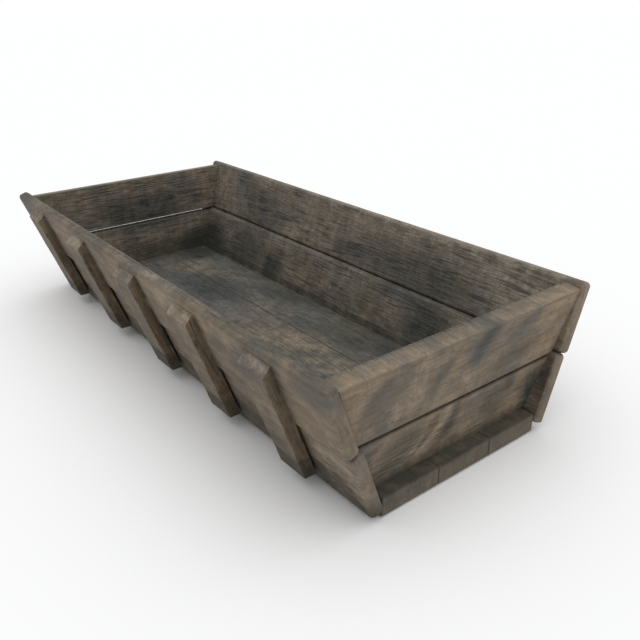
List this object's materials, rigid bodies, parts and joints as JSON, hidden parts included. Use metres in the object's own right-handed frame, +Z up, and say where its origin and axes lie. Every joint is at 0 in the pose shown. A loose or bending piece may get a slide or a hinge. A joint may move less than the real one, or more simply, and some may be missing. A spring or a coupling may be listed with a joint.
{
  "type": "wooden trough",
  "caption": "Open rectangular plank trough with outward-leaning sides, tilted ends, a thick board floor that stands out as a ledge, and battens down the outside.",
  "frame": {"origin": "on the ground under the middle of the trough", "axes": "+X along the length, +Y across the width, +Z up"},
  "size_m": [1.938, 0.96, 0.4139],
  "materials": {
    "floor_wood": "weathered, matt",
    "side_wood": "weathered, satin-matt, worn edges",
    "end_wood": "weathered, satin-matt",
    "batten_wood": "weathered, matt",
    "tenon_wood": "plain, dry"
  },
  "bodies": {
    "root": {"floor_board_near": "floor_wood", "floor_board_middle": "floor_wood", "floor_board_far": "floor_wood", "side_plank_near_lower": "side_wood", "side_plank_near_upper": "side_wood", "side_plank_far_lower": "side_wood", "side_plank_far_upper": "side_wood", "end_board_right_lower": "end_wood", "end_board_right_upper": "end_wood", "end_board_left_lower": "end_wood", "end_board_left_upper": "end_wood", "batten_near_1": "batten_wood", "batten_near_2": "batten_wood", "batten_near_3": "batten_wood", "batten_near_4": "batten_wood", "batten_near_5": "batten_wood", "batten_far_1": "batten_wood", "batten_far_2": "batten_wood", "batten_far_3": "batten_wood", "batten_far_4": "batten_wood", "batten_far_5": "batten_wood", "tenons_floor": "tenon_wood", "tenons_end_foot": "tenon_wood", "tenons_end_board": "tenon_wood", "tenons_floor_edge": "tenon_wood", "pegs_batten": "tenon_wood"}
  },
  "joints": []
}
